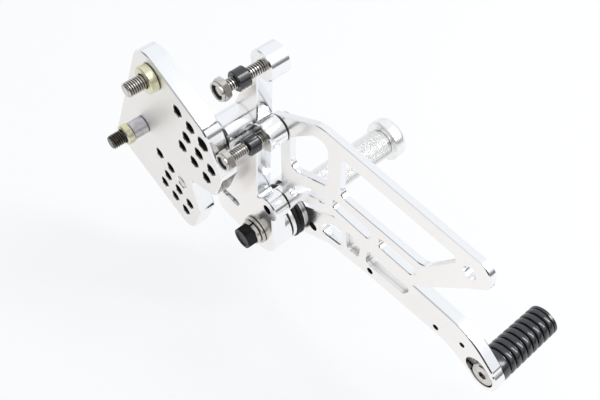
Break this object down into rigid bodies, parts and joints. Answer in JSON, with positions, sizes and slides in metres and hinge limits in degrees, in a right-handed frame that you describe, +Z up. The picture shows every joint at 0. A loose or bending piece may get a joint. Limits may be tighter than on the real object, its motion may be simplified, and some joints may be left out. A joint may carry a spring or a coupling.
{
  "type": "rear sets footrest",
  "caption": "Motorbike rear-set footrest: base plate with position holes, bracket, skeleton heel guard, swinging brake pedal with ribbed toe peg, and knurled foot peg.",
  "frame": {"origin": "on the pedal's axle, at the bracket's inner face", "axes": "+X forward along the pedal, +Y outboard along the foot peg, +Z up"},
  "size_m": [0.26, 0.1607, 0.1678],
  "materials": {
    "silver_alloy": "bead-blasted satin, bright machined edges",
    "bright_steel": "bright plated",
    "yellow_zinc": "yellow zinc plated",
    "black_alloy": "black anodised",
    "black_steel": "black oxide",
    "black_seal": "moulded rubber",
    "bronze": "plain bearing bronze"
  },
  "bodies": {
    "frame": {"base_plate": "silver_alloy", "main_bracket": "silver_alloy", "heel_guard": "silver_alloy", "foot_peg": "silver_alloy", "hub_shim": "silver_alloy", "cylinder_bolt_upper": "bright_steel", "cylinder_bolt_lower": "bright_steel", "cylinder_nut_upper": "bright_steel", "cylinder_nut_lower": "bright_steel", "bracket_bolt_upper": "bright_steel", "bracket_bolt_lower": "bright_steel", "frame_spacer_lower": "bright_steel", "pivot_spring_washer": "bright_steel", "pivot_washer": "bright_steel", "pivot_sleeve": "bright_steel", "guard_screw": "bright_steel", "frame_bolt_upper": "bright_steel", "frame_bolt_lower": "bright_steel", "frame_collar_upper": "yellow_zinc", "frame_collar_lower": "yellow_zinc", "cylinder_collar_upper": "black_alloy", "cylinder_collar_lower": "black_alloy", "pivot_bolt": "black_steel", "hub_collar": "black_seal"},
    "brake_pedal": {"pedal": "silver_alloy", "hub_bush_inner": "bronze", "hub_bush_outer": "bronze"},
    "toe": {"toe_peg": "black_alloy", "toe_screw": "bright_steel"}
  },
  "joints": [
    {"name": "pedal_swing", "type": "hinge", "parent": "frame", "child": "brake_pedal", "pos_m": [0, 0.0292, 0], "axis": [0, -1, 0], "range_deg": [-20, 35]},
    {"name": "toe_adjust", "type": "slide", "parent": "brake_pedal", "child": "toe", "axis": [-0.8, 0, 0.6], "range_m": [0, 0.005]}
  ]
}
